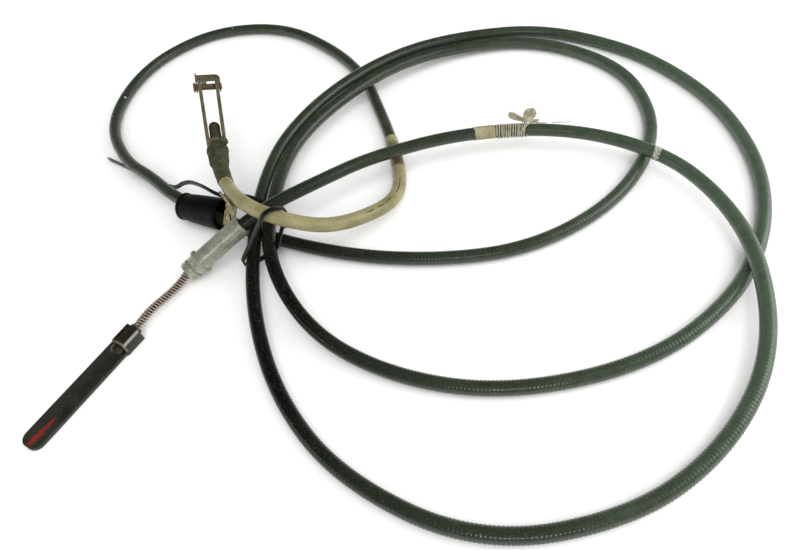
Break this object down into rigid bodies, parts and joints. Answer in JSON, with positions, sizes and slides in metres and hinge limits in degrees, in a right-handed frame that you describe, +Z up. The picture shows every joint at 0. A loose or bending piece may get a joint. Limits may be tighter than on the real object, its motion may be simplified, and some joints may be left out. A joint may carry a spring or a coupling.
{
  "type": "parking brake cable assembly",
  "caption": "Long ribbed parking brake cable in loose loops, with a ferrule, return spring and pull lever at one end and a slotted yoke with clevis pin at the other.",
  "frame": {"origin": "on the floor under the middle of the two end fittings, which lie side by side", "axes": "+Z up off the floor; +X from the end fittings towards the three large loops; +Y from the lever end towards the yoke end"},
  "size_m": [0.5339, 0.5186, 0.0566],
  "materials": {
    "vinyl_jacket": "worn satin, fine ribs",
    "armour_steel": "flat wire spiral, oiled",
    "liner_plastic": "natural",
    "wire_steel": "greasy strand",
    "zinc_ferrule": "cast, dulled",
    "bush_plastic": "moulded",
    "nipple_steel": "plated, dull",
    "lever_steel": "worn dark paint",
    "spring_steel": "rusted",
    "washer_steel": "plated",
    "cap_steel": "dirty plating",
    "boot_rubber": "perished",
    "sleeve_vinyl": "satin, grimy",
    "tape_cloth": "greasy",
    "yoke_steel": "yellow zinc, rusting",
    "pin_steel": "rusting",
    "gaiter_rubber": "dirty",
    "bracket_sheet": "aged cream",
    "tie_nylon": "moulded",
    "label_paper": "soiled",
    "string_cotton": "twisted",
    "marker_tape": "scuffed"
  },
  "bodies": {
    "conduit": {"conduit_jacket": "vinyl_jacket", "conduit_armour": "armour_steel", "conduit_liner": "liner_plastic", "inner_wire": "wire_steel", "lever_wire": "wire_steel", "lever_ferrule": "zinc_ferrule", "ferrule_bush": "bush_plastic", "return_spring": "spring_steel", "yoke_end_cap": "cap_steel", "ribbed_boot": "boot_rubber", "heat_sleeve": "sleeve_vinyl", "tape_wrap": "tape_cloth", "rubber_gaiter": "gaiter_rubber", "sheet_bracket": "bracket_sheet", "cable_tie": "tie_nylon", "paper_label": "label_paper", "string_wrap": "string_cotton", "string_knot": "string_cotton", "marker_ring": "marker_tape"},
    "lever_wire_end": {"wire_nipple": "nipple_steel", "spring_washer": "washer_steel"},
    "brake_lever": {"brake_lever": "lever_steel"},
    "yoke_wire_end": {"yoke_rod": "wire_steel", "rod_barrel": "pin_steel", "barrel_washer": "washer_steel"},
    "yoke": {"yoke_strap": "yoke_steel"},
    "clevis_pin": {"clevis_pin": "pin_steel"},
    "pin_clip": {"pin_clip": "yoke_steel"}
  },
  "joints": [
    {"name": "lever_slide", "type": "slide", "parent": "conduit", "child": "lever_wire_end", "axis": [0.5105, 0.8599, 0], "range_m": [0, 0.015], "deforming": ["return_spring", "lever_wire"]},
    {"name": "lever_tilt", "type": "hinge", "parent": "lever_wire_end", "child": "brake_lever", "pos_m": [-0.01734, -0.08633, 0.00758], "axis": [0, 0, 1], "range_deg": [-6, 6]},
    {"name": "yoke_slide", "type": "slide", "parent": "conduit", "child": "yoke_wire_end", "axis": [-0.2365, 0.9642, 0.1201], "range_m": [0, 0.015]},
    {"name": "yoke_swivel", "type": "hinge", "parent": "yoke_wire_end", "child": "yoke", "pos_m": [0.03451, 0.0721, 0.04101], "axis": [-0.2365, 0.9642, 0.1201], "continuous": true},
    {"name": "pin_turn", "type": "hinge", "parent": "yoke", "child": "clevis_pin", "pos_m": [0.01867, 0.1367, 0.04905], "axis": [-0.9399, -0.2583, 0.2231], "continuous": true},
    {"name": "clip_swing", "type": "hinge", "parent": "yoke", "child": "pin_clip", "pos_m": [0.01867, 0.1367, 0.04905], "axis": [0.9399, 0.2583, -0.2231], "range_deg": [0, 110]}
  ],
  "couplings": [
    {"joint": "yoke_slide", "follows": "lever_slide", "ratio": 1}
  ]
}
